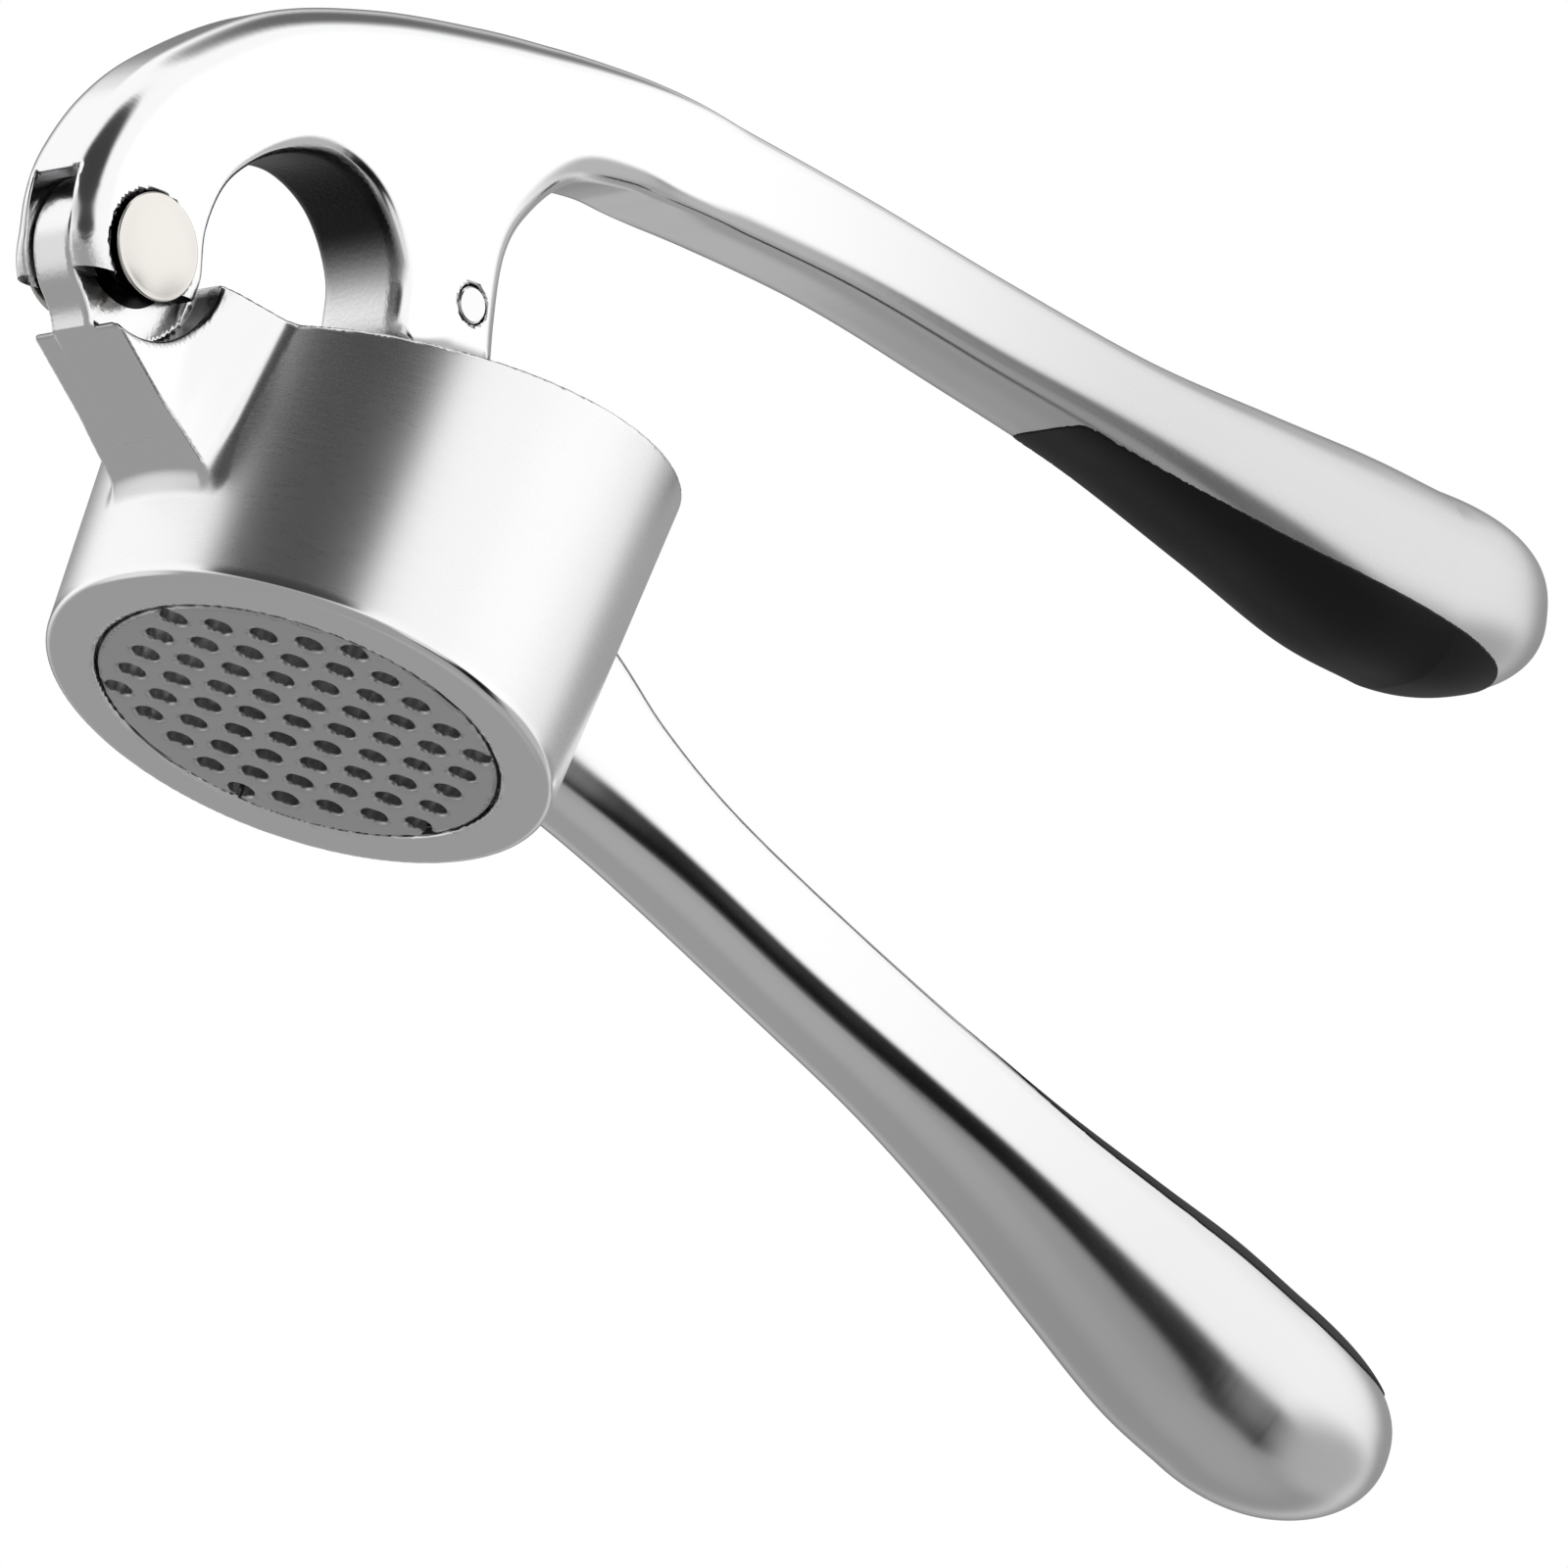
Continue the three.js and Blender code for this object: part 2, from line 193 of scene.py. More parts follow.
def tapered_bar(x, y, z, keys, tip_x, tip_z, roundness=2.15):
    """A bar along X with a blunt round tip. keys: x, top, bottom, half width, squareness above and below."""
    rows = catmull(keys)
    top, bottom, half, above, below = [np.interp(x, rows[:, 0], rows[:, i]) for i in range(1, 6)]
    reach = np.clip((x - rows[-1, 0]) / (tip_x - rows[-1, 0]), 0, 1.6)
    end_middle = (rows[-1, 1] + rows[-1, 2]) / 2
    middle = (top + bottom) / 2 + (tip_z - end_middle) * np.minimum(reach, 1) ** 2
    rise = (top - bottom) / 2
    power = np.where(z > middle, above, below)
    across = (np.abs(y / half) ** power + np.abs((z - middle) / rise) ** power) ** (1 / power)
    whole = (across ** roundness + reach ** roundness) ** (1 / roundness)
    return (whole - 1) * np.minimum(half, rise)


# ---- from a field to a mesh ----

COARSER = 1.5
PROJECTIONS = 3
SLOPE_REACH = 0.02
NORMAL_REACH = 0.05
LEAST_SLOPE = 0.05


def net(values):
    """Surface net of a grid of values: points in grid units, and four-sided faces."""
    cell_shape = np.array(values.shape) + 1
    cells = []
    crossings = []
    faces = []
    for axis in range(3):
        first = np.moveaxis(values, axis, 0)[:-1]
        second = np.moveaxis(values, axis, 0)[1:]
        found = np.argwhere((first < 0) != (second < 0))
        v0 = first[tuple(found.T)]
        v1 = second[tuple(found.T)]
        others = [a for a in range(3) if a != axis]
        where = np.zeros_like(found)
        where[:, axis] = found[:, 0]
        where[:, others[0]] = found[:, 1]
        where[:, others[1]] = found[:, 2]
        crossing = where.astype(float)
        crossing[:, axis] += v0 / (v0 - v1)
        u = (axis + 1) % 3
        v = (axis + 2) % 3
        around = []
        for du, dv in ((0, 0), (-1, 0), (-1, -1), (0, -1)):
            cell = where + 1
            cell[:, u] += du
            cell[:, v] += dv
            around.append(np.ravel_multi_index(tuple(cell.T), cell_shape))
        ring = np.stack(around, 1)
        ring = np.where((v0 < 0)[:, None], ring, ring[:, ::-1])
        faces.append(ring)
        for column in around:
            cells.append(column)
            crossings.append(crossing)
    cells = np.concatenate(cells)
    crossings = np.concatenate(crossings)
    used, index = np.unique(cells, return_inverse=True)
    count = np.bincount(index)
    points = np.stack([np.bincount(index, crossings[:, i]) / count for i in range(3)], 1)
    faces = np.searchsorted(used, np.concatenate(faces))
    return points, faces


def axis_points(low, high, step, fine_until=None):
    """Grid lines from low to high. Past fine_until they are spread out, where the shape changes slowly."""
    if fine_until is None:
        return np.arange(low, high + step, step)
    spread_out = np.arange(fine_until, high + step, step * COARSER)
    return np.concatenate([np.arange(low, fine_until, step), spread_out])


def mesh_of(name, field, low, high, step, place, marks=None, fine_until=None):
    """Meshes a field between two corners, and moves it onto the field's zero level.

    place takes points from the field's frame to the row frame. marks are values for the material to read.
    """
    axes = [axis_points(low[0], high[0], step, fine_until)]
    axes += [axis_points(low[i], high[i], step) for i in (1, 2)]
    x, y, z = np.meshgrid(*axes, indexing="ij", sparse=True)
    values = np.broadcast_to(field(x, y, z), [len(a) for a in axes])
    points, faces = net(values)
    points = np.stack([np.interp(points[:, i], np.arange(len(a)), a) for i, a in enumerate(axes)], 1)
    for _ in range(PROJECTIONS):
        slope = slope_of(field, points, SLOPE_REACH)
        size = np.maximum((slope * slope).sum(1), LEAST_SLOPE)
        move = np.clip(field(*points.T) / size, -step / 2, step / 2)
        points = points - slope * move[:, None]
    return build(name, points, faces, slope_of(field, points, NORMAL_REACH), place, marks)


def slope_of(field, points, reach):
    """The field's slope at points, measured across a short reach each way."""
    columns = []
    for axis in range(3):
        offset = np.zeros(3)
        offset[axis] = reach
        columns.append((field(*(points + offset).T) - field(*(points - offset).T)) / (2 * reach))
    return np.stack(columns, 1)


def build(name, local, faces, normals, place, marks):
    """An object from four-sided faces, with the given normals and a value at each point for each mark."""
    mesh = bpy.data.meshes.new(name)
    rotation, shift = place
    world = (local @ rotation.T + shift) / 1000
    normals = normals @ rotation.T
    normals /= np.maximum(np.linalg.norm(normals, axis=1), 1e-9)[:, None]
    mesh.vertices.add(len(world))
    mesh.vertices.foreach_set("co", world.astype(np.float32).ravel())
    mesh.loops.add(faces.size)
    mesh.loops.foreach_set("vertex_index", faces.astype(np.int32).ravel())
    mesh.polygons.add(len(faces))
    mesh.polygons.foreach_set("loop_start", np.arange(0, faces.size, 4, dtype=np.int32))
    mesh.update()
    mesh.validate()
    mesh.shade_smooth()
    mesh.normals_split_custom_set_from_vertices(normals.tolist())
    for key, mark in (marks or {}).items():
        layer = mesh.attributes.new(key, "FLOAT", "POINT")
        layer.data.foreach_set("value", mark(*local.T).astype(np.float32))
    piece = bpy.data.objects.new(name, mesh)
    bpy.context.scene.collection.objects.link(piece)
    return piece


def turn(angle):
    """Rotation that lifts +X toward +Z."""
    c = math.cos(angle)
    s = math.sin(angle)
    return np.array([[c, 0, -s], [0, 1, 0], [s, 0, c]])


AT_REST = (np.eye(3), HINGE)
LIFTED = (turn(CLOSING), HINGE)

# ---- upper handle, in the closed press ----

UPPER_KEYS = [
    (56.0, 29.3, 19.55, CAST_HALF, 5, 6),
    (63.6, 28.75, 19.1, CAST_HALF, 4.8, 5),
    (82, 26.6, 17.75, CAST_HALF, 4.4, 4.2),
    (100, 23.9, 14.9, 5.3, 3.9, 3.8),
    (118, 21.6, 11.7, 6.3, 3.2, 3.3),
    (134, 21.0, 7.3, 7.4, 2.8, 2.8),
    (147, 20.7, 3.4, 8.0, 2.6, 2.6),
    (157, 20.0, 2.1, 8.0, 2.5, 2.5),
]
UPPER_TIP = (174.5, 12.3)


def arch_outline():
    """The arch seen from the side: its back, the ear, the opening, the leg and the beam's start."""
    left = 27.6
    right = 40.3
    corner = 2.4
    foot = LEG_BOTTOM + corner
    top = [(70, 28.1), (63.6, 28.7), (56, 29.3), (50, 29.45), (44, 29.3), (36, 28.7), (24, 26.9)]
    top += [(12.5, 23.6), (2.8, 18), (-2.6, 13.2), (-6.1, 7.9), (-7.35, 3.8)]
    ear = arc(-0.6, 0.1, 6.7, 180, 351)
    top.append(tuple(ear[0]))
    inner = [(6.1, 3.4), (8.2, 7.9), (13, 11.3), (19.2, 12.7), (24.4, 10.6), (27.4, 6.0), (left, foot)]
    inner = [tuple(ear[-1])] + inner
    underside = [(right, foot), (40.8, 9.7), (43.4, 14.5), (48, 18.4), (54, 19.6), (60, 19.4), (70, 18.85)]
    return np.vstack([
        catmull(top), ear, catmull(inner),
        arc(left + corner, foot, corner, 180, 270, 12),
        arc(right - corner, foot, corner, 270, 360, 12),
        catmull(underside),
    ])


def from_opening(x, z):
    """Distance from the middle of the arch's opening."""
    return bar_y(x, z, 0, *OPENING)


def arch_rounding(x, z):
    """The outer edge of the arch is well rounded; the opening, the leg and the beam have crisper edges."""
    least = 0.9
    more_inside = 0.8
    more_outside = 2.3
    outside = ease(from_opening(x, z), 12.5, 17.5)
    by_opening = least + more_inside * (1 - outside) * ease(x, 9, 17)
    return by_opening + more_outside * outside * ease(-x, -70, -36) * ease(z, -9, 4)


def upper_insert_outline():
    """The insert takes all of the grip below this edge."""
    edge = [(GRIP_START, 12.4), (110.5, 13.6), (116, 12.8), (125, 11.2), (135, 9.6), (145, 8.3), (154, 7.2)]
    edge += [(161, 6.0), (166, 4.6), (GRIP_END, 1)]
    return np.vstack([[(GRIP_START, -FAR)], catmull(edge), [(GRIP_END, -FAR)]])


def upper_bar(x, y, z):
    return tapered_bar(x, y, z, UPPER_KEYS, *UPPER_TIP)


def arch(x, y, z):
    """The arch with the fork's slot."""
    flat = outline_distance(arch_outline(), x, z)
    plate = round_meet(flat, np.abs(y) - CAST_HALF, arch_rounding(x, z))
    slot = np.maximum(bar_y(x, z, SLOT_RADIUS), np.abs(y) - SLOT_HALF)
    return round_cut(plate, slot, SOFT)


def mortise(x, y, z):
    """The slot in the leg's foot that takes the plunger's eye."""
    front = 30.6
    back = 44
    slot = np.maximum(np.abs(y) - TENON_HALF - 0.3, np.maximum(front - x, x - back))
    return np.maximum(slot, z - LEG_PIN[1] - EYE_RADIUS - 0.4)


def upper_handle(x, y, z):
    blend = ease(x, 56, 68)
    body = arch(x, y, z) * (1 - blend) + upper_bar(x, y, z) * blend
    body = round_cut(body, mortise(x, y, z), 0.3)
    body = round_cut(body, np.maximum(bar_y(x, z, SEAT_RADIUS), SEAT_FLOOR - np.abs(y)), 0.15)
    body = round_cut(body, bar_y(x, z, PIN_RADIUS + BORE_GAP), CRISP)
    body = round_cut(body, bar_y(x, z, LEG_PIN_RADIUS + 0.14, *LEG_PIN), 0.12)
    return round_cut(body, outline_distance(upper_insert_outline(), x, z) + PAD_BED, CRISP)


def upper_insert(x, y, z):
    return round_meet(upper_bar(x, y, z) - PAD_PROUD, outline_distance(upper_insert_outline(), x, z), 0.3)


# ---- lower handle ----

LOWER_KEYS = [
    (46, 3.8, -14.9, 5.6, 6, 2.7),
    (60, 0.6, -14.1, 5.05, 6, 2.6),
    (68, -2.0, -13.8, 4.9, 6, 2.5),
    (78, -3.9, -13.9, 4.9, 6, 2.5),
    (92, -4.8, -14.6, 4.9, 6, 2.5),
    (108, -5.2, -15.4, 5.35, 4.6, 2.45),
    (122, -5.3, -17.1, 6.35, 3.6, 2.3),
    (136, -4.5, -20.0, 7.45, 3, 2.15),
    (147, -3.6, -22.15, 8.1, 2.6, 2.1),
    (156, -3.6, GROUND, 8.1, 2.5, 2.1),
]
LOWER_TIP = (175.2, -10.5)


def lower_insert_outline():
    """The insert takes all of the grip above this edge."""
    edge = [(GRIP_START, -5.5), (114, -5.9), (121, -6.7), (128, -7.1), (136, -7.0), (147, -6.8), (156, -6.9)]
    edge += [(164, -7.1), (GRIP_END, -6.4)]
    return np.vstack([[(GRIP_START, FAR)], catmull(edge), [(GRIP_END, FAR)]])


def lower_bar(x, y, z):
    return np.maximum(tapered_bar(x, y, z, LOWER_KEYS, *LOWER_TIP), LOWER_KEYS[0][0] - x)


def cone(x, y, z, low_radius, high_radius):
    """A cone about the hopper's axis, given its radius at the ground and at HOPPER_TALL."""
    slope = (high_radius - low_radius) / (HOPPER_TALL - GROUND)
    radius = low_radius + slope * (z - GROUND)
    return about_hopper(x, y, radius) / math.hypot(1, slope)


def rim_plane(x, z):
    """The hopper's rim lies in a plane that rises away from the hinge."""
    return (z - RIM_HEIGHT - RIM_SLOPE * (x - HOPPER_X)) / math.hypot(1, RIM_SLOPE)


BRACKET_FRONT = -0.9
BRACKET_BACK = 26
BRACKET_TOP = 1.4
BRACKET_FLOOR = -8.1
BRACKET_FALL = 0.42
BRACKET_FLARE = 5.0  # where its sides start to open


def bracket(x, y, z):
    """The wedge between the hinge and the hopper: flat sides that open toward the hopper's rim."""
    floor = BRACKET_FLOOR - BRACKET_FALL * x
    up = np.clip((z - floor) / (BRACKET_TOP - floor), 0, 1)
    out = np.maximum(x - BRACKET_FLARE, 0)
    half = CAST_HALF + out * (0.06 + 0.3 * up) * ease(x, BRACKET_FLARE, BRACKET_FLARE + 4)
    steepness = 1.05  # of the flared sides
    sides = (np.abs(y) - half) / steepness
    under = (floor - z) / math.hypot(1, BRACKET_FALL)
    body = round_meet(sides, under, 0.55)
    body = round_meet(body, z - BRACKET_TOP, 0.5)
    body = round_meet(body, BRACKET_FRONT - x, 0.5)
    relief = np.maximum(bar_y(x, z, RELIEF_RADIUS), TONGUE_HALF - np.abs(y))
    return round_cut(np.maximum(body, x - BRACKET_BACK), relief, 0.3)


def tongue(x, y, z):
    """The round eye between the fork's ears, with its root in the bracket."""
    under = BRACKET_FLOOR + 0.06 - BRACKET_FALL * x - z
    root = np.maximum(np.maximum(under, BRACKET_FRONT - x), np.maximum(z + 3, x - 9))
    body = round_join(bar_y(x, z, TONGUE_RADIUS), root, 2.5)
    return round_meet(body, np.abs(y) - TONGUE_HALF, 0.5)


def hopper(x, y, z):
    """The hopper's outside, with its rim sawn off at a slant."""
    shell = round_meet(cone(x, y, z, HOPPER_BOTTOM_RADIUS, HOPPER_TOP_RADIUS), GROUND - z, 0.8)
    return round_meet(shell, rim_plane(x, z), SOFT)


def chamber(x, y, z):
    return np.maximum(cone(x, y, z, CHAMBER_BOTTOM_RADIUS, CHAMBER_TOP_RADIUS), GROUND + LIP_THICKNESS - z)


def lower_handle(x, y, z):
    wedge = round_join(bracket(x, y, z), tongue(x, y, z), 0.4)
    body = round_join(hopper(x, y, z), wedge, 0.6 + 1.0 * ease(-z, 8, 14))
    body = round_join(body, lower_bar(x, y, z), 1.2)
    body = round_cut(body, chamber(x, y, z), SOFT)
    body = round_cut(body, about_hopper(x, y, LIP_RADIUS), CRISP)
    body = round_cut(body, bar_y(x, z, PIN_RADIUS + BORE_GAP), CRISP)
    return round_cut(body, outline_distance(lower_insert_outline(), x, z) + PAD_BED, CRISP)


def lower_insert(x, y, z):
    return round_meet(lower_bar(x, y, z) - PAD_PROUD, outline_distance(lower_insert_outline(), x, z), 0.3)


# ---- sieve and plunger ----


def hole_centres():
    """Rows of holes, every other row shifted by half a pitch, inside a circle."""
    row_height = HOLE_PITCH * math.sin(math.pi / 3)
    rows = int(HOLE_ZONE / row_height)
    centres = []
    for row in range(-rows, rows + 1):
        shift = 0 if row % 2 == 0 else HOLE_PITCH / 2
        for k in range(-rows - 1, rows + 1):
            x = k * HOLE_PITCH + shift
            y = row * row_height
            if math.hypot(x, y) <= HOLE_ZONE:
                centres.append((HOPPER_X + x, y))
    return centres


def sieve(x, y, z):
    """A perforated disc: its boss fills the hopper's lip, and its flange rests on it."""
    gap = 0.3
    seat = GROUND + LIP_THICKNESS + gap
    boss = round_meet(about_hopper(x, y, LIP_RADIUS) + gap, GROUND - z, CRISP)
    boss = np.maximum(boss, z - seat - 0.5)
    flange = round_meet(about_hopper(x, y, CHAMBER_BOTTOM_RADIUS) + gap, seat - z, 0.15)
    disc = np.maximum(np.minimum(boss, flange), z - seat - FLANGE_THICKNESS)
    holes = np.full(np.broadcast(x, y).shape, 1e3)
    for cx, cy in hole_centres():
        holes = np.minimum(holes, np.hypot(x - cx, y - cy) - HOLE_RADIUS)
    return round_cut(disc, holes, 0.25)


def plunger(x, y, z):
    """The press disc, its boss, and a stem up to the eye. Measured from its own pin, with its face down."""
    face = -PRESS_DEPTH
    radius = np.hypot(x - PRESS_OFFSET, y)
    thick = PRESS_THICKNESS / 2
    disc = round_meet(radius - PRESS_RADIUS, np.abs(z - face - thick) - thick, 0.5)
    above = z - face - PRESS_THICKNESS
    boss_radius = np.interp(above, [0, 1, 3.5, 7.5], [8, 6.8, 4.6, 3.6])
    boss = round_meet((radius - boss_radius) * 0.8, above - 7.5, 0.4)
    boss = np.maximum(boss, face + 1 - z)
    half = np.interp(z, [face + 8, -7], [2.4, 1.75])
    centre = np.interp(z, [face + 8, -7], [-0.7, -0.15])
    stem = np.maximum(np.abs(x - centre) - half, np.maximum(z, face + 2 - z))
    stem = np.minimum(stem, bar_y(x, z, EYE_RADIUS))
    stem = round_meet(stem, np.abs(y) - TENON_HALF, 0.3)
    body = round_join(round_join(disc, boss, 1.2), stem, 0.6)
    return np.maximum(body, -bar_y(x, z, LEG_PIN_RADIUS + 0.15))


# ---- turned pins ----


def turned_pin(name, profile, centre, sides=96):
    """Spins [radius, y] pairs about a line along Y."""
    bm = bmesh.new()
    rings = []
    for radius, y in profile:
        ring = []
        for i in range(sides):
            angle = 2 * math.pi * i / sides
            at = (centre[0] + radius * math.cos(angle), y, centre[1] + radius * math.sin(angle))
            ring.append(bm.verts.new(Vector(at) / 1000))
        rings.append(ring)
    for low, high in zip(rings, rings[1:]):
        for i in range(sides):
            j = (i + 1) % sides
            bm.faces.new((low[i], low[j], high[j], high[i]))
    bm.faces.new(rings[0][::-1])
    bm.faces.new(rings[-1])
    bmesh.ops.recalc_face_normals(bm, faces=bm.faces)
    mesh = bpy.data.meshes.new(name)
    bm.to_mesh(mesh)
    bm.free()
    mesh.shade_smooth()
    mesh.set_sharp_from_angle(angle=math.radians(35))
    piece = bpy.data.objects.new(name, mesh)
    bpy.context.scene.collection.objects.link(piece)
    return piece


def head_profile():
    """One end of the hinge pin: a low dome with a rolled edge, from the shaft outward."""
    start = CAST_HALF + 0.15
    end = start + PIN_HEAD_THICKNESS
    edge = 0.2
    edge_steps = 6
    dome = 0.6
    dome_steps = 12
    flat = 0.3  # of a step, left flat in the middle
    crown = PIN_HEAD_RADIUS - edge
    shoulder = end - edge - dome
    profile = [(PIN_RADIUS, start), (PIN_HEAD_RADIUS - 0.6, start)]
    for i in range(edge_steps + 1):
        angle = math.pi / 2 * i / edge_steps
        profile.append((crown + edge * math.cos(angle), shoulder + edge * math.sin(angle)))
    for i in range(1, dome_steps + 1):
        share = 1 - i / (dome_steps + flat)
        profile.append((crown * share, end - dome * share ** 2))
    return profile


def hinge_pin():
    """A riveted pin, the same on both sides."""
    outer = head_profile()
    profile = [(radius, -y) for radius, y in reversed(outer)] + outer
    return turned_pin("hinge_pin_turned", profile, (HINGE[0], HINGE[2]))


def leg_pin_place():
    """The plunger's pivot, in the row frame."""
    x, z = LEG_PIN
    return turn(CLOSING) @ np.array([x, 0, z]) + HINGE


def plunger_pin():
    """A pin through the leg with its ends just under the surface."""
    where = leg_pin_place()
    end = CAST_HALF - 0.02
    edge = 0.15
    profile = [(LEG_PIN_RADIUS - edge, -end), (LEG_PIN_RADIUS, -end + edge)]
    profile += [(LEG_PIN_RADIUS, end - edge), (LEG_PIN_RADIUS - edge, end)]
    return turned_pin("plunger_pin_turned", profile, (where[0], where[2]), sides=64)


# ---- materials ----


class Nodes:
    """Short calls for building a node tree."""

    def __init__(self, tree):
        self.tree = tree

    def add(self, kind, **settings):
        node = self.tree.nodes.new(kind)
        for key, value in settings.items():
            setattr(node, key, value)
        return node

    def link(self, source, target):
        self.tree.links.new(source, target)

    def fill(self, socket, value):
        if isinstance(value, bpy.types.NodeSocket):
            self.link(value, socket)
        else:
            socket.default_value = value

    def math(self, operation, a, b=0.0, clamp=False):
        node = self.add("ShaderNodeMath", operation=operation, use_clamp=clamp)
        self.fill(node.inputs[0], a)
        self.fill(node.inputs[1], b)
        return node.outputs[0]

    def noise(self, vector, scale, detail=2.0, roughness=0.5):
        node = self.add("ShaderNodeTexNoise")
        self.link(vector, node.inputs["Vector"])
        node.inputs["Scale"].default_value = scale
        node.inputs["Detail"].default_value = detail
        node.inputs["Roughness"].default_value = roughness
        return node.outputs["Fac"]

    def stretched(self, vector, scale):
        node = self.add("ShaderNodeMapping")
        self.link(vector, node.inputs["Vector"])
        node.inputs["Scale"].default_value = scale
        return node.outputs["Vector"]

    def blend(self, share, first, second, kind="RGBA"):
        node = self.add("ShaderNodeMix", data_type=kind)
        self.link(share, node.inputs["Factor"])
        self.fill(node.inputs["A"], first)
        self.fill(node.inputs["B"], second)
        return node.outputs["Result"]

    def remap(self, value, low, high, to_low, to_high):
        node = self.add("ShaderNodeMapRange", interpolation_type="SMOOTHSTEP")
        self.fill(node.inputs["Value"], value)
        node.inputs["From Min"].default_value = low
        node.inputs["From Max"].default_value = high
        node.inputs["To Min"].default_value = to_low
        node.inputs["To Max"].default_value = to_high
        return node.outputs["Result"]


def new_material(name):
    material = bpy.data.materials.new(name)
    material.use_nodes = True
    nodes = Nodes(material.node_tree)
    shader = material.node_tree.nodes["Principled BSDF"]
    where = nodes.add("ShaderNodeTexCoord").outputs["Object"]
    return material, nodes, shader, where


def bump(nodes, shader, height, distance, strength=1.0):
    node = nodes.add("ShaderNodeBump")
    node.inputs["Strength"].default_value = strength
    node.inputs["Distance"].default_value = distance
    nodes.link(height, node.inputs["Height"])
    nodes.link(node.outputs["Normal"], shader.inputs["Normal"])


def attribute(nodes, name):
    return nodes.add("ShaderNodeAttribute", attribute_name=name).outputs["Fac"]


def pin_seat_shadow(nodes, where):
    """One inside the seat of the pin's head, zero elsewhere: the mask of a painted shadow under the head."""
    offset = nodes.add("ShaderNodeVectorMath", operation="SUBTRACT")
    nodes.link(where, offset.inputs[0])
    offset.inputs[1].default_value = HINGE / 1000
    flat = nodes.stretched(offset.outputs["Vector"], (1.0, 0.0, 1.0))
    length = nodes.add("ShaderNodeVectorMath", operation="LENGTH")
    nodes.link(flat, length.inputs[0])
    radius = SEAT_RADIUS / 1000
    blur = 0.06 / 1000
    return nodes.remap(length.outputs["Value"], radius - blur, radius, 1, 0)


POLISHED = (0.90, 0.90, 0.905, 1)
SILVER_GREY = (0.68, 0.68, 0.685, 1)
PAINTED_SHADE_BLACK = (0.03, 0.03, 0.03, 1)
SEAT_SHADE = (0.02, 0.02, 0.02, 1)


def cast_metal():
    """Polished zinc, by four marks: satin is brushed, rough is as cast, grey changes its colour, and dark
    paints shade into it. A painted shadow also darkens the seat of the pin's head.
    """
    material, nodes, shader, where = new_material("polished_zinc")
    satin = attribute(nodes, "satin")
    rough = attribute(nodes, "rough")
    shader.inputs["Metallic"].default_value = 1.0
    tone = nodes.blend(attribute(nodes, "grey"), POLISHED, SILVER_GREY)
    # Painted shade: the dark mark blends in near black toward the crown of the arch's opening and in the
    # bracket's hollow by the ear.
    tone = nodes.blend(attribute(nodes, "dark"), tone, PAINTED_SHADE_BLACK)
    # Painted shadow: a near-black disc around the hinge axis, under the pin's head.
    tone = nodes.blend(pin_seat_shadow(nodes, where), tone, SEAT_SHADE)
    nodes.link(tone, shader.inputs["Base Color"])
    blotch = nodes.noise(where, 60.0, 3.0)
    brushed = nodes.noise(nodes.stretched(where, (500.0, 500.0, 5000.0)), 1.0, 3.0, 0.6)
    grain = nodes.noise(where, 2600.0, 3.0, 0.6)
    level = nodes.math("ADD", 0.10, nodes.math("MULTIPLY", blotch, 0.06))
    level = nodes.math("ADD", level, nodes.math("MULTIPLY", satin, 0.15))
    level = nodes.math("ADD", level, nodes.math("MULTIPLY", rough, 0.22))
    streak = nodes.math("MULTIPLY", nodes.math("SUBTRACT", brushed, 0.5), nodes.math("MULTIPLY", satin, 0.06))
    nodes.link(nodes.math("ADD", level, streak, clamp=True), shader.inputs["Roughness"])
    height = nodes.math("MULTIPLY", brushed, nodes.math("MULTIPLY", satin, 0.008))
    height = nodes.math("ADD", height, nodes.math("MULTIPLY", grain, rough))
    bump(nodes, shader, height, 0.00006)
    return material


def satin_metal(name, colour, roughness):
    """A turned or pressed metal with slight wear."""
    material, nodes, shader, where = new_material(name)
    spread = 0.12
    shader.inputs["Metallic"].default_value = 1.0
    shader.inputs["Base Color"].default_value = (*colour, 1)
    fine = nodes.noise(where, 1500.0, 4.0, 0.6)
    wear = nodes.noise(where, 160.0, 3.0)
    level = nodes.math("ADD", roughness - spread / 2, nodes.math("MULTIPLY", wear, spread))
    nodes.link(level, shader.inputs["Roughness"])
    bump(nodes, shader, fine, 0.00001, 0.5)
    return material


def grip_black():
    """Matt black plastic with a fine grain."""
    material, nodes, shader, where = new_material("black_grip")
    shader.inputs["Base Color"].default_value = (0.005, 0.0053, 0.006, 1)
    shader.inputs["Specular IOR Level"].default_value = 0.22
    grain = nodes.noise(where, 3000.0, 3.0, 0.65)
    soft = nodes.noise(where, 90.0, 2.0)
    nodes.link(nodes.math("ADD", 0.42, nodes.math("MULTIPLY", soft, 0.16)), shader.inputs["Roughness"])
    bump(nodes, shader, grain, 0.00003, 0.6)
    return material


# ---- marks on the castings ----


def upper_satin(x, y, z):
    """The polish of the arch turns satin along the beam."""
    return ease(x, 70, 120)


def grip_grey(x, y, z):
    """The grips are satin finished, which takes them from white to silver grey."""
    return ease(x, 62, 122)


def lower_grey(x, y, z):
    return 0.55 * ease(x, 80, 145)


def opening_wall(x, y, z, margin):
    """One on the wall inside the arch, zero within a margin of the side faces."""
    inside = 1 - ease(from_opening(x, z), 12.6, 13.6)
    flank = 1 - ease(np.abs(y), CAST_HALF - margin - 0.4, CAST_HALF - margin)
    return inside * flank * ease(x, 7, 9)


def upper_rough(x, y, z):
    """The wall inside the arch is as cast. The underside of the ear is dull too."""
    ear = 0.8 * ease(-z, -1, 3) * (1 - ease(np.hypot(x, z), 7.6, 8.4))
    return np.maximum(opening_wall(x, y, z, 0.5), ear)


def painted_opening_shade(x, y, z):
    """Painted shade: the wall inside the arch is darkened toward the crown of the opening, where shade falls.
    """
    return opening_wall(x, y, z, 0.3) * ease(z, 1.5, 9.0)


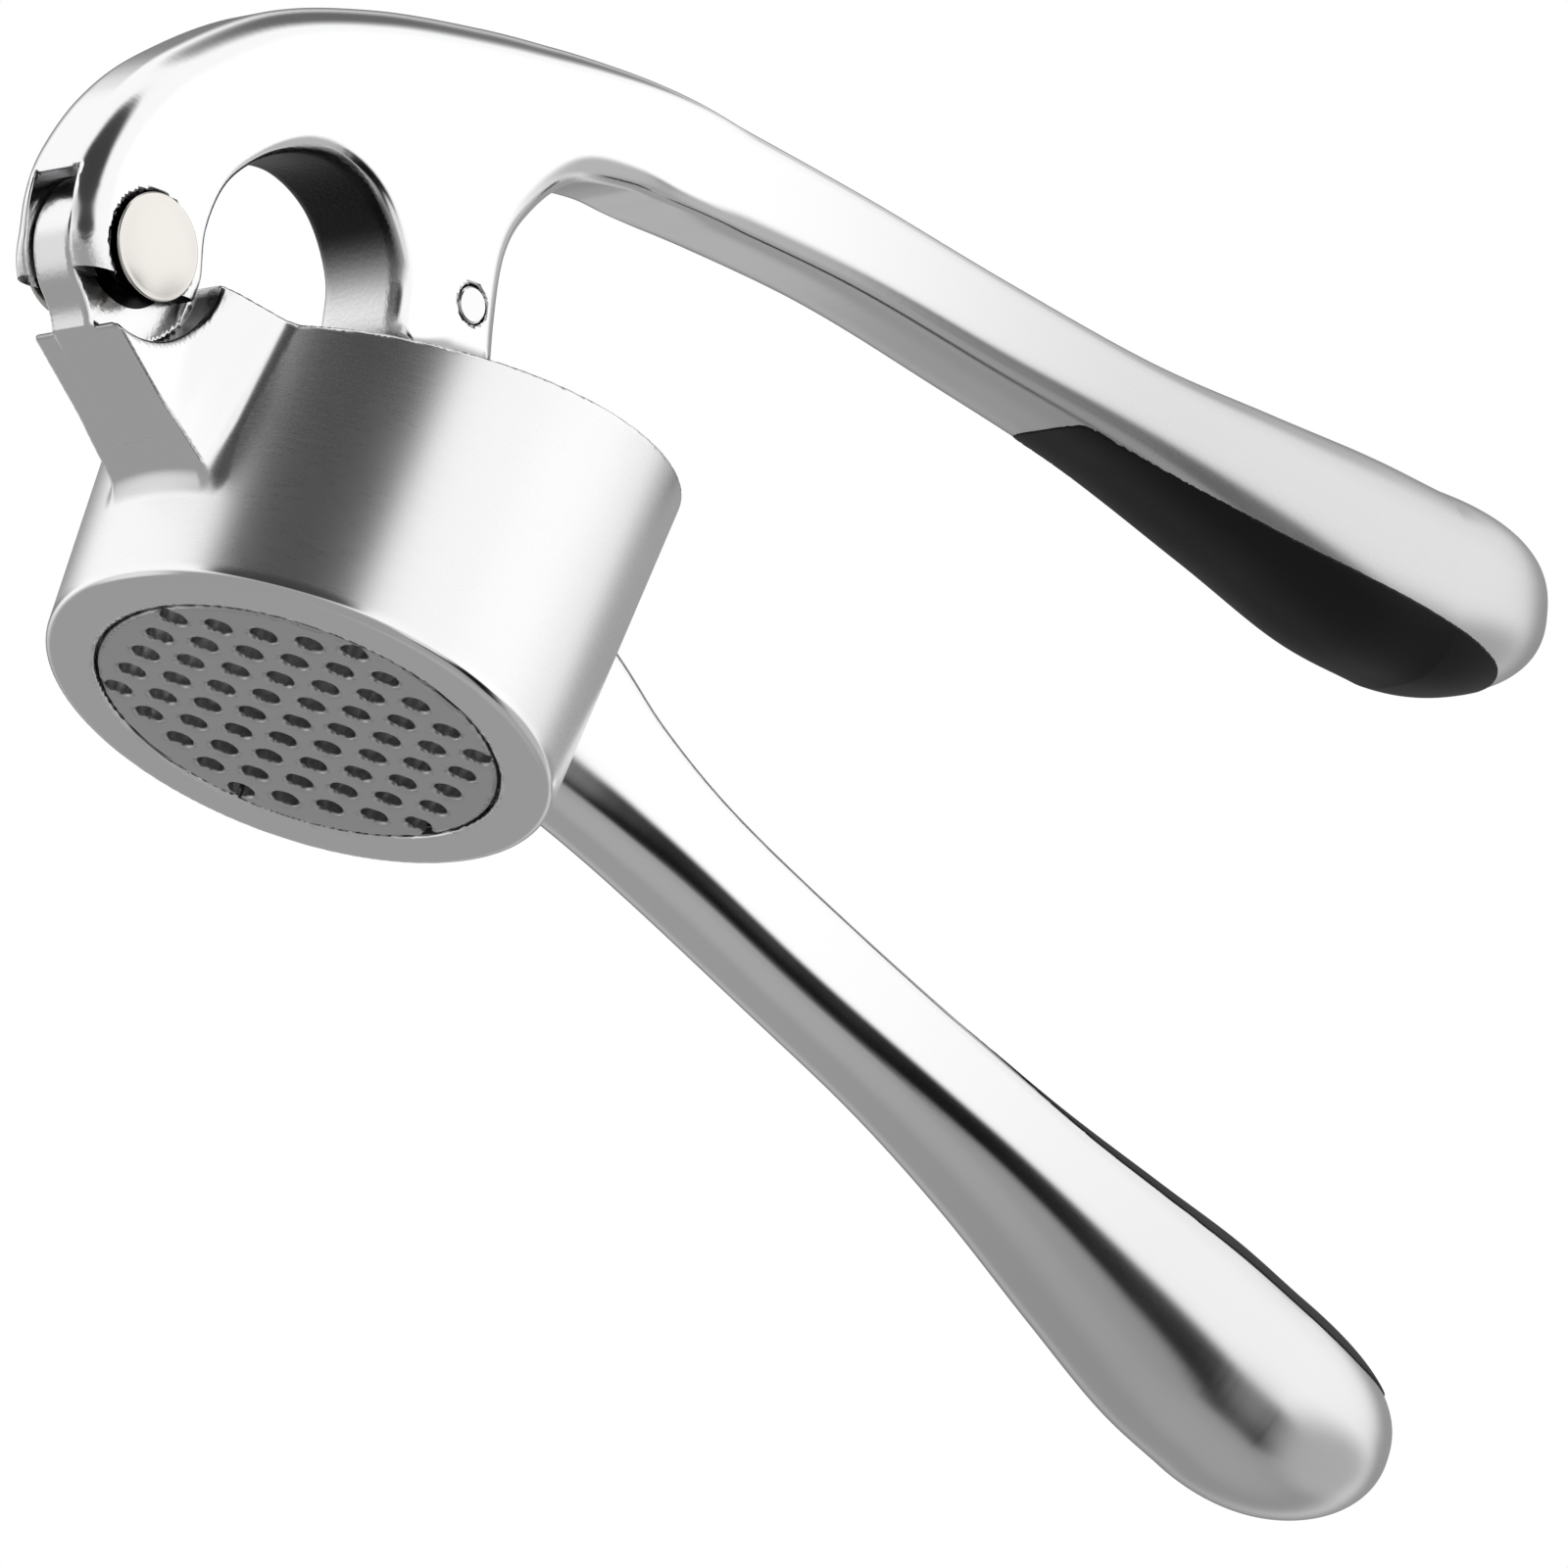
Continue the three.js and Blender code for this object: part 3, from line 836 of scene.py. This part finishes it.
def lower_satin(x, y, z):
    """The hopper is brushed all round, and the grip is half satin."""
    brushed = (1 - ease(about_hopper(x, y, 0), 22.9, 23.3)) * ease(z, GROUND + 0.6, GROUND + 1.6)
    return np.maximum(brushed, 0.5 * ease(x, 95, 150))


def lower_rough(x, y, z):
    """Inside the hopper, and on the bracket."""
    radius = about_hopper(x, y, 0)
    inside = 0.5 * (1 - ease(radius, 21.0, 21.4)) * ease(z, GROUND + 0.4, GROUND + 1.2)
    wedge = 0.25 * (1 - ease(x, 16, 22)) * ease(radius, 23.2, 24.0)
    return np.maximum(inside, wedge)


def painted_bracket_seat_shade(x, y, z):
    """Painted shade: the hollow in the bracket that clears the ear is darkened, where shade falls between the
    ear and the bracket.
    """
    beside = ease(np.abs(y), TONGUE_HALF + 0.1, TONGUE_HALF + 0.5)
    near = 1 - ease(bar_y(x, z, RELIEF_RADIUS), 0.1, 0.4)
    return beside * near * ease(BRACKET_TOP - z, 0.2, 1)


# ---- the press ----


CAST_STEP = 0.34
PAD_STEP = 0.25


def castings(step):
    """The two handles. Past the arch and the hopper their meshes are coarser along X."""
    metal = cast_metal()
    marks = {"satin": upper_satin, "rough": upper_rough, "dark": painted_opening_shade, "grey": grip_grey}
    upper = mesh_of("upper_handle_cast", upper_handle, (-9, -9, -3), (176, 9, 31), step, LIFTED,
                    marks, fine_until=66)
    marks = {"satin": lower_satin, "rough": lower_rough, "dark": painted_bracket_seat_shade, "grey": lower_grey}
    lower = mesh_of("lower_handle_cast", lower_handle, (-8, -24.5, -24), (177, 24.5, 11), step, AT_REST,
                    marks, fine_until=60)
    finish(upper, metal, "upper_lever", "upper_handle")
    finish(lower, metal, "lower_lever", "lower_handle")


def pads(step):
    """The black inserts in the grips."""
    black = grip_black()
    upper = mesh_of("upper_grip_pad", upper_insert, (106, -10, 0), (173, 10, 15), step, LIFTED)
    lower = mesh_of("lower_grip_pad", lower_insert, (106, -10, -9), (173, 10, -1), step, AT_REST)
    finish(upper, black, "upper_lever", "upper_grip_insert")
    finish(lower, black, "lower_lever", "lower_grip_insert")


def sieve_and_plunger(step):
    steel = satin_metal("sieve_steel", (0.62, 0.62, 0.62), 0.34)
    zinc = satin_metal("satin_zinc", (0.70, 0.70, 0.705), 0.30)
    disc = mesh_of("sieve_disc", sieve, (14, -21, -24), (56, 21, -18), step, AT_REST)
    hanging = (turn(CLOSING * PLUNGER_SHARE), leg_pin_place())
    press = mesh_of("plunger_cast", plunger, (-20, -18, -26), (17, 18, 4), step, hanging)
    finish(disc, steel, "lower_lever", "sieve_plate")
    finish(press, zinc, "press_plunger", "plunger")


def pins():
    warm = satin_metal("pin_steel", (0.80, 0.775, 0.735), 0.20)
    bright = satin_metal("leg_pin_steel", (0.88, 0.88, 0.88), 0.22)
    finish(hinge_pin(), warm, "lower_lever", "hinge_pin")
    finish(plunger_pin(), bright, "upper_lever", "plunger_pin")


def make_press():
    castings(CAST_STEP)
    pads(PAD_STEP)
    sieve_and_plunger(CAST_STEP)
    pins()


def finish(piece, material, body, node):
    """Gives a piece its material, the body that it moves with and the CAD node that it stands for."""
    piece.data.materials.append(material)
    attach(piece, body)
    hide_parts(node)


# ---- studio ----


# Soft cards: direction, inner and outer half angle in degrees, brightness
CARDS = [
    ((0.58, -0.68, 0.45), 16, 30, 1.12),
    ((0.12, 0.05, 0.99), 8, 28, 0.15),
    ((0.55, 0.00, -0.83), 2, 34, 0.41),
    ((0.54, 0.70, 0.45), 8, 44, 0.20),
    ((0.40, -0.83, -0.38), 20, 29, 0.0),
    ((0.22, -0.62, -0.75), 10, 22, 0.36),
    ((0.90, -0.42, -0.10), 14, 32, 0.50),
    ((0.00, -0.98, -0.20), 4, 18, 0.80),
    ((-0.66, 0.68, -0.30), 6, 26, 0.80),
    ((-0.85, -0.40, 0.42), 26, 37, 0.05),
    ((0.84, 0.31, 0.44), 14, 34, 0.34),
]
ROOM_LOW = 0.34
ROOM_HIGH = 1.05


def world():
    """White for the camera. For reflections, a bright room with soft grey and dark cards in it."""
    scene_world = bpy.data.worlds.new("studio")
    bpy.context.scene.world = scene_world
    scene_world.use_nodes = True
    nodes = Nodes(scene_world.node_tree)
    background = scene_world.node_tree.nodes["Background"]
    direction = nodes.add("ShaderNodeTexCoord").outputs["Generated"]
    split = nodes.add("ShaderNodeSeparateXYZ")
    nodes.link(direction, split.inputs[0])
    light = nodes.remap(split.outputs["Z"], -0.34, 0.20, ROOM_LOW, ROOM_HIGH)
    for towards, inner, outer, value in CARDS:
        light = card(nodes, direction, light, towards, inner, outer, value)
    to_camera = nodes.add("ShaderNodeLightPath").outputs["Is Camera Ray"]
    nodes.link(nodes.blend(to_camera, light, 1.0, "FLOAT"), background.inputs["Color"])


def card(nodes, direction, light, towards, inner, outer, value):
    """Lays a soft round card of the given brightness over the light."""
    dot = nodes.add("ShaderNodeVectorMath", operation="DOT_PRODUCT")
    nodes.link(direction, dot.inputs[0])
    dot.inputs[1].default_value = Vector(towards).normalized()
    low = math.cos(math.radians(outer))
    high = math.cos(math.radians(inner))
    edge = nodes.remap(dot.outputs["Value"], low, high, 0, 1)
    return nodes.blend(edge, light, value, "FLOAT")


def floor():
    """A pale floor under the press. It shows from above only, because the camera looks up from below it."""
    size = 1.5
    mesh = bpy.data.meshes.new("floor")
    corners = [(-size, -size, 0), (size, -size, 0), (size, size, 0), (-size, size, 0)]
    mesh.from_pydata(corners, [], [(0, 1, 2, 3)])
    ground = bpy.data.objects.new("floor", mesh)
    bpy.context.scene.collection.objects.link(ground)
    ground.location.z = -0.0002  # just clear of the hopper's base
    material, nodes, shader, _ = new_material("floor")
    shader.inputs["Base Color"].default_value = (0.86, 0.86, 0.86, 1)
    shader.inputs["Roughness"].default_value = 0.9
    back = nodes.add("ShaderNodeNewGeometry").outputs["Backfacing"]
    clear = nodes.add("ShaderNodeBsdfTransparent").outputs[0]
    mix = nodes.add("ShaderNodeMixShader")
    nodes.link(back, mix.inputs[0])
    nodes.link(shader.outputs[0], mix.inputs[1])
    nodes.link(clear, mix.inputs[2])
    nodes.link(mix.outputs[0], material.node_tree.nodes["Material Output"].inputs["Surface"])
    mesh.materials.append(material)
    ground.visible_diffuse = False
    ground.visible_glossy = False
    ground.visible_shadow = False


def lamp(name, towards, distance, size, watts):
    """A soft area light that shines on the press from the given direction."""
    data = bpy.data.lights.new(name, "AREA")
    data.size = size
    data.energy = watts
    light = bpy.data.objects.new(name, data)
    bpy.context.scene.collection.objects.link(light)
    at = Vector(towards).normalized() * distance
    light.location = at
    light.rotation_euler = (-at).to_track_quat("-Z", "Y").to_euler()
    light.visible_glossy = False


def camera():
    """Looks up at the press from the front, the left and below, through a long lens."""
    azimuth = math.radians(40.66)
    elevation = math.radians(-26.51)
    roll = math.radians(19.82)
    away = 1.15
    across = 0.05385
    upward = -0.04232
    back = Vector((-math.cos(elevation) * math.sin(azimuth), -math.cos(elevation) * math.cos(azimuth),
                   math.sin(elevation)))
    level = Vector((0, 0, 1)).cross(back).normalized()
    upright = back.cross(level)
    right = math.cos(roll) * level + math.sin(roll) * upright
    up = -math.sin(roll) * level + math.cos(roll) * upright
    data = bpy.data.cameras.new("camera")
    data.sensor_width = 36
    data.lens = 329.9
    data.clip_end = 20
    eye = bpy.data.objects.new("camera", data)
    bpy.context.scene.collection.objects.link(eye)
    where = Vector(HINGE / 1000) + right * across + up * upward + back * away
    matrix = Matrix((right, up, back)).transposed().to_4x4()
    matrix.translation = where
    eye.matrix_world = matrix
    bpy.context.scene.camera = eye


camera()
make_press()
world()
floor()
lamp("key", towards=(-0.5, -0.4, 1.2), distance=0.9, size=0.7, watts=4.0)
bpy.context.scene.view_settings.view_transform = "Standard"
